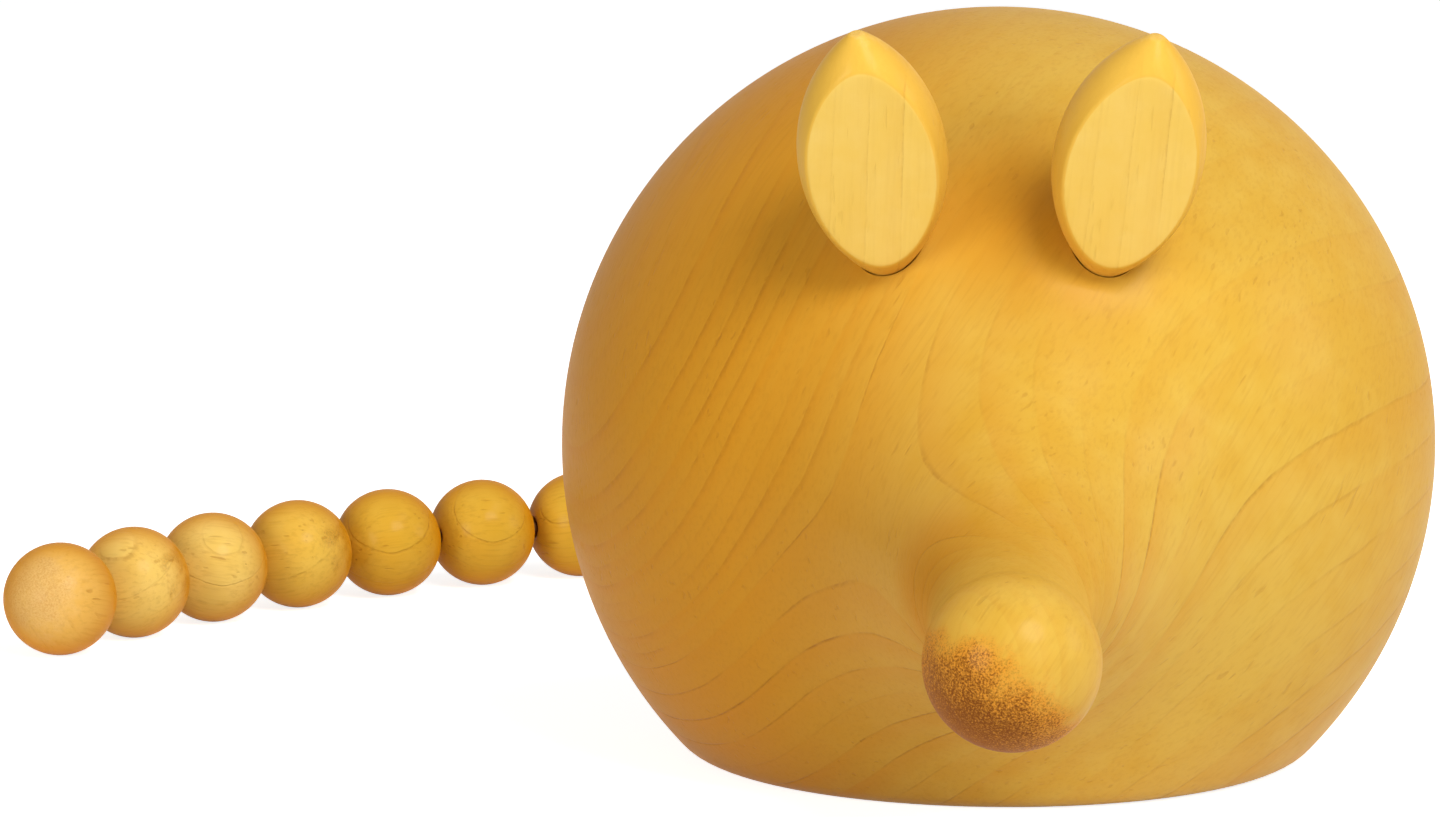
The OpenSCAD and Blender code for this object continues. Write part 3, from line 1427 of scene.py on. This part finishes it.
    def build(self, cord: bpy.types.Material, effects: Effects) -> None:
        """Makes and dresses the whole tail.

        Args:
            cord: Material of the cord.
            effects: The shared effects.
        """
        clear = self.cord_width / 2.0 + self.fit_gap
        start = self.cord_exit - self.socket_depth + self.end_gap
        first = self.bends[0]
        place = Matrix.Translation((0.0, start, first[2])) @ rotation(-90.0, "X")
        root = piece("cord_root", moved(self.strand(first[1] - clear - start, 0.0), place))
        stands_for(root, "tail_cord_root", "figure", cord)
        for k, cut in enumerate(self.cuts):
            number = f"{k + 1:02d}"
            ball = piece(f"ball_{number}", self.ball(k))
            wood = cut.shade.value.material(f"ball_wood_{number}", self.grain(k), effects)
            stands_for(ball, f"tail_ball_{number}", f"tail_link_{number}", wood)
            end = 2.0 * self.half_pitch - clear
            if k == len(self.cuts) - 1:
                end = self.half_pitch - self.ball_width / 2.0 + self.end_depth - self.end_gap
            place = self.placing(k) @ raised(clear)
            stretch = piece(f"cord_{number}", moved(self.strand(end - clear, self.twist * k), place))
            stands_for(stretch, f"tail_cord_{number}", f"tail_link_{number}", cord)
            flex = piece(f"cord_bend_{number}", self.bend(k))
            stands_for(flex, f"tail_bend_{number}", f"tail_bend_{number}", cord)

    def grain(self, k: int) -> Grain:
        """Gives the grain of ball k, with its rings across the fibres.

        The rings' direction, width and start change from ball to ball, so that no two look alike.

        Args:
            k: Number of the ball from the body.

        Returns:
            The grain.
        """
        axis = self.cuts[k].axis
        side = np.cross(np.array(axis), (0.31, 0.22 + 0.1 * k, 0.9))
        sheet = side / np.linalg.norm(side)
        middle = np.array(self.placing(k) @ Vector((0.0, 0.0, self.half_pitch)))
        width = 2.4 + 0.7 * (k * 5 % 4)
        start = middle + (0.2 + 0.6 * (k * 3 % 5)) * sheet
        return Grain(tuple(start), axis, tuple(sheet), width=width, wobble=2.6)


# The studio


@dataclass(frozen=True)
class Lamp:
    """A soft round lamp that looks at a point."""

    name: str
    place: Triple
    size: float
    power: float
    target: Triple = (0.0, 0.0, 0.035)

    def build(self) -> None:
        """Adds the lamp to the scene."""
        light = bpy.data.lights.new(self.name, "AREA")
        light.shape = "DISK"
        light.size = self.size
        light.energy = self.power
        made = bpy.data.objects.new(self.name, light)
        away = Vector(self.place) - Vector(self.target)
        made.rotation_euler = away.to_track_quat("Z", "Y").to_euler()
        made.location = self.place
        bpy.context.scene.collection.objects.link(made)


@dataclass
class Studio:
    """The camera, a white floor, soft lamps and a pale surround."""

    camera_place: Triple = (-0.0093, -0.5403, 0.1082)
    camera_turn: Triple = (82.1, 0.0, 1.85)
    lens: float = 141.2
    sensor: float = 36.0
    nearest: float = 0.01
    floor_half: float = 6.0
    floor_shade: float = 0.86
    ambient: float = 0.14
    lift: float = 0.82
    lamps: tuple[Lamp, ...] = (
        Lamp("key", (0.32, -0.52, 0.62), 0.42, 5.2),
        Lamp("front", (0.42, -0.7, 0.25), 0.36, 0.8),
        Lamp("side", (0.8, 0.0, 0.32), 0.36, 1.1),
        Lamp("edge", (0.4, -0.11, 0.8), 0.3, 0.8),
        Lamp("fill", (-0.53, -0.63, 0.2), 0.42, 2.75),
    )

    def camera(self) -> None:
        """Adds the camera at the photograph's viewing angle."""
        made = bpy.data.cameras.new("camera")
        made.lens = self.lens
        made.sensor_width = self.sensor
        made.sensor_fit = "HORIZONTAL"
        made.clip_start = self.nearest
        seen = bpy.data.objects.new("camera", made)
        seen.location = self.camera_place
        seen.rotation_euler = tuple(math.radians(v) for v in self.camera_turn)
        bpy.context.scene.collection.objects.link(seen)
        bpy.context.scene.camera = seen

    @staticmethod
    def seen_rays(graph: Graph) -> Socket:
        """Gives 1 for camera, glossy and transmission rays, and 0 for the rays that light the object."""
        path = graph.node("ShaderNodeLightPath").outputs
        glossy = graph.math("MAXIMUM", path["Is Glossy Ray"], path["Is Transmission Ray"])
        return graph.math("MAXIMUM", path["Is Camera Ray"], glossy)

    def floor(self) -> None:
        """Adds a white floor that keeps the object's shadow, a flat grid of points."""
        ticks = np.linspace(-self.floor_half, self.floor_half, 9)
        across, along = np.meshgrid(ticks, ticks)
        points = np.stack([across.ravel(), along.ravel(), np.zeros(across.size)], axis=1)
        index = np.arange(across.size).reshape(across.shape)
        corners = [index[:-1, :-1], index[:-1, 1:], index[1:, 1:], index[1:, :-1]]
        faces = np.stack(corners, axis=2).reshape(-1, 4).tolist()
        made = piece("studio_floor", (points / MM, faces))
        white = bpy.data.materials.new("studio_floor")
        white.use_nodes = True
        graph = Graph(white.node_tree)
        white.node_tree.nodes.clear()
        matt = graph.node("ShaderNodeBsdfDiffuse")
        shade = self.floor_shade
        graph.feed(matt.inputs["Color"], (shade, shade, shade, 1.0))
        glow = graph.node("ShaderNodeEmission")
        graph.feed(glow.inputs["Strength"], graph.times(self.seen_rays(graph), self.lift))
        both = graph.node("ShaderNodeAddShader")
        graph.feed(both.inputs[0], matt.outputs[0])
        graph.feed(both.inputs[1], glow.outputs[0])
        graph.feed(graph.node("ShaderNodeOutputMaterial").inputs["Surface"], both.outputs[0])
        made.data.materials.append(white)

    def surround(self) -> None:
        """Makes the surround white to look at and weak as a light."""
        world = bpy.data.worlds.new("surround")
        world.use_nodes = True
        graph = Graph(world.node_tree)
        sky = world.node_tree.nodes["Background"]
        graph.feed(sky.inputs["Color"], (1.0, 1.0, 1.0, 1.0))
        seen = self.seen_rays(graph)
        graph.feed(sky.inputs["Strength"], graph.step(seen, 0.0, 1.0, self.ambient, 1.0))
        bpy.context.scene.world = world

    def build(self) -> None:
        """Sets up the whole studio."""
        bpy.context.scene.view_settings.view_transform = "Standard"
        self.camera()
        self.floor()
        self.surround()
        for lamp in self.lamps:
            lamp.build()
        LOG.info("studio set")


TAIL_CUTS = [
    BallCut(BallShade.HONEY, unit(0.2, 0.9, 0.3)),
    BallCut(BallShade.AMBER, unit(0.7, 0.5, 0.4)),
    BallCut(BallShade.HONEY, unit(-0.4, 0.8, 0.5)),
    BallCut(BallShade.PALE, unit(0.5, 0.2, 0.8)),
    BallCut(BallShade.AMBER, unit(0.9, 0.3, 0.2)),
    BallCut(BallShade.HONEY, unit(0.3, -0.6, 0.7)),
    BallCut(BallShade.HONEY, unit(0.6, 0.6, -0.4)),
    BallCut(BallShade.AMBER, unit(0.2, 0.7, 0.7)),
    BallCut(BallShade.AMBER, unit(0.95, -0.2, 0.15)),
    BallCut(BallShade.AMBER, unit(0.92, 0.3, -0.05)),
    BallCut(BallShade.AMBER, unit(0.93, 0.25, 0.1)),
    BallCut(BallShade.HONEY, unit(0.9, -0.35, 0.12)),
    BallCut(BallShade.PALE, unit(0.92, 0.2, -0.15)),
    BallCut(BallShade.PALE, unit(0.9, -0.3, 0.1)),
    BallCut(BallShade.RUSSET, unit(-0.45, -0.85, 0.25)),
]


def main() -> None:
    """Builds the studio, then the body, the ears and the tail."""
    logging.basicConfig(level=logging.INFO)
    Studio().build()
    effects = Effects()
    ears = {
        "left": Ear(spread=14.8, splay=10.0, line_lean=-6.0),
        "right": Ear(spread=-17.6, splay=-6.5, line_lean=8.0),
    }
    body = Body()
    body.build(ears, effects)
    for side, ear in ears.items():
        ear.build(side, body.ear_place(ear), effects)
    Tail(TAIL_CUTS).build(CordFinish().material("cord_brown", effects), effects)


if __name__ == "__main__":
    main()
